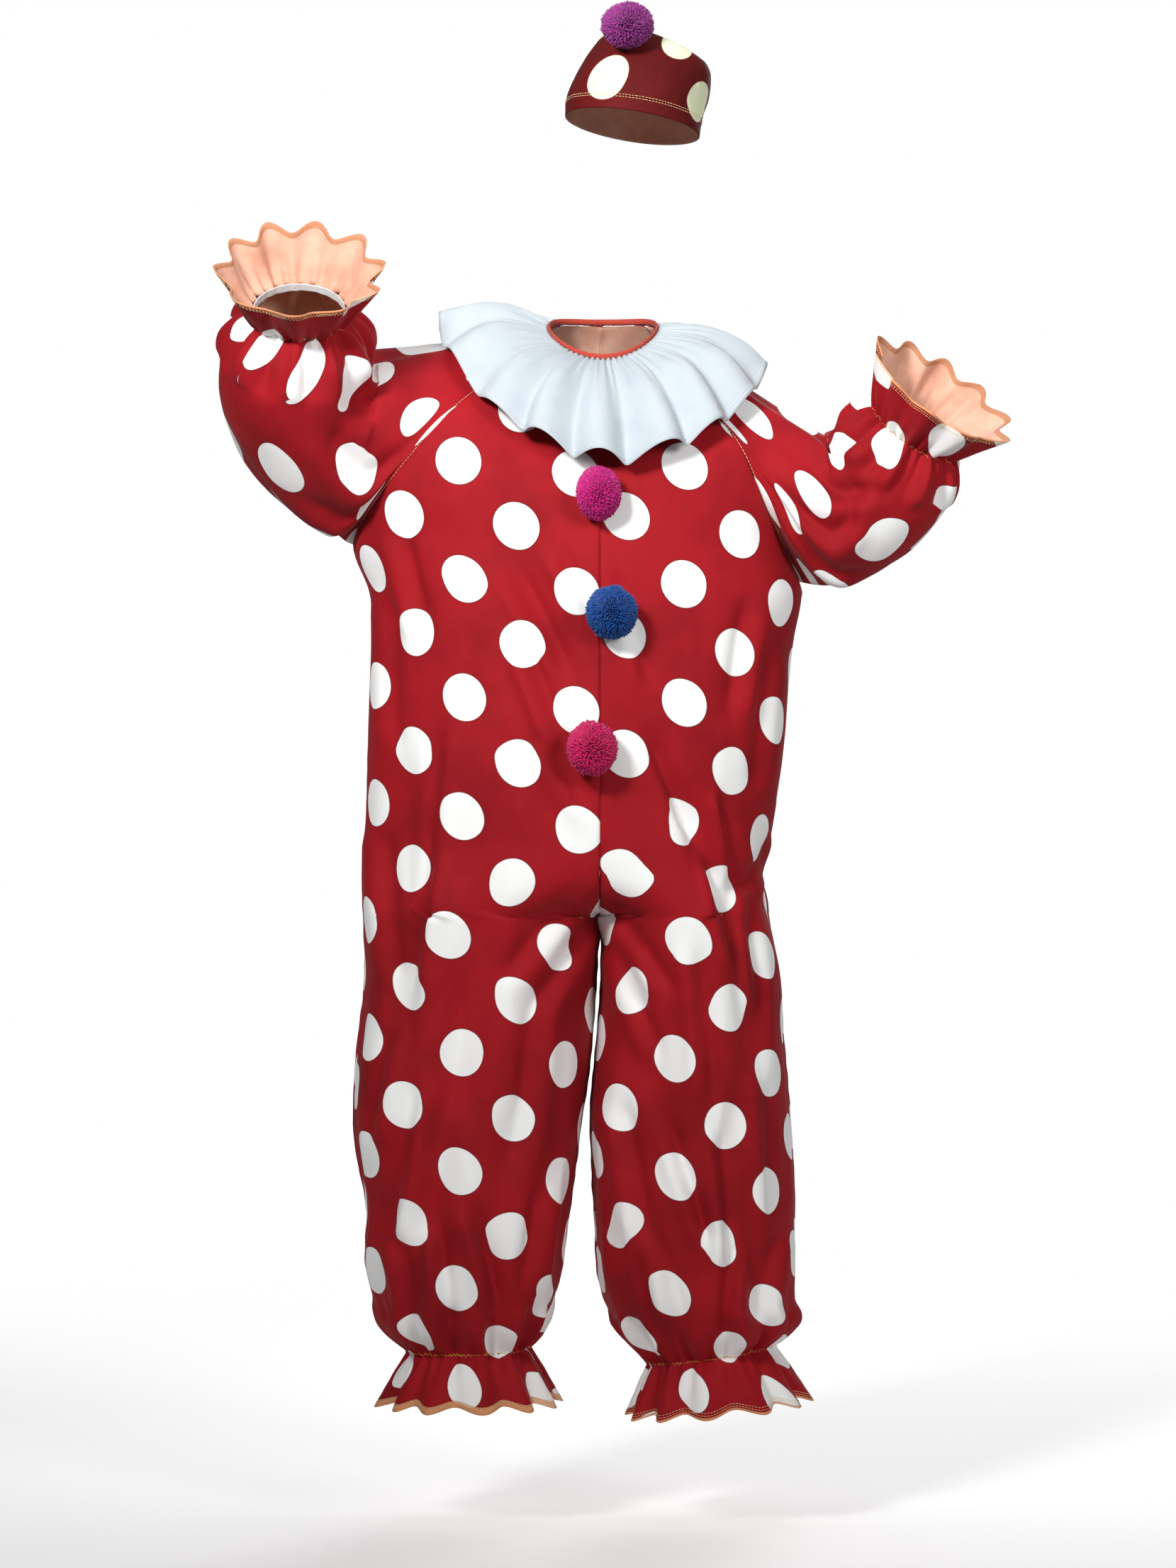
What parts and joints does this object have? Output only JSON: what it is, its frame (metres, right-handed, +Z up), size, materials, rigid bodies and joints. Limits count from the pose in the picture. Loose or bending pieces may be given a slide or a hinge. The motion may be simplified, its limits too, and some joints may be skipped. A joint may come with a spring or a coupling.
{
  "type": "clown costume",
  "caption": "Full-length clown suit in dotted red cloth with balloon sleeves, ruffled cuffs and ankles, a fluted white collar, yarn pompoms and a matching soft hat, held open as worn.",
  "frame": {"origin": "centre of the neck opening, where the wearer's neck and shoulders carry the suit", "axes": "+Z up, the front faces -Y, +X towards the wearer's left"},
  "size_m": [0.9831, 0.449, 1.7673],
  "materials": {
    "dotted_red_cloth": "plain-weave poly-cotton, matt, printed with white dots",
    "white_collar_cloth": "thin bluish-white plain weave, matt",
    "red_binding": "folded red bias binding, matt",
    "white_elastic": "braided elastic, matt",
    "magenta_yarn": "cut yarn, fuzzy",
    "blue_yarn": "cut yarn, fuzzy",
    "pink_yarn": "cut yarn, fuzzy",
    "purple_yarn": "cut yarn, fuzzy"
  },
  "bodies": {
    "root": {"front_right": "dotted_red_cloth", "front_left": "dotted_red_cloth", "back_right": "dotted_red_cloth", "back_left": "dotted_red_cloth", "sleeve_right": "dotted_red_cloth", "sleeve_left": "dotted_red_cloth", "wrist_elastic_right": "white_elastic", "wrist_elastic_left": "white_elastic", "collar": "white_collar_cloth", "neck_binding": "red_binding", "hat_side": "dotted_red_cloth", "hat_tip": "dotted_red_cloth", "pompom_top": "magenta_yarn", "pompom_middle": "blue_yarn", "pompom_bottom": "pink_yarn", "pompom_hat": "purple_yarn"}
  },
  "joints": []
}
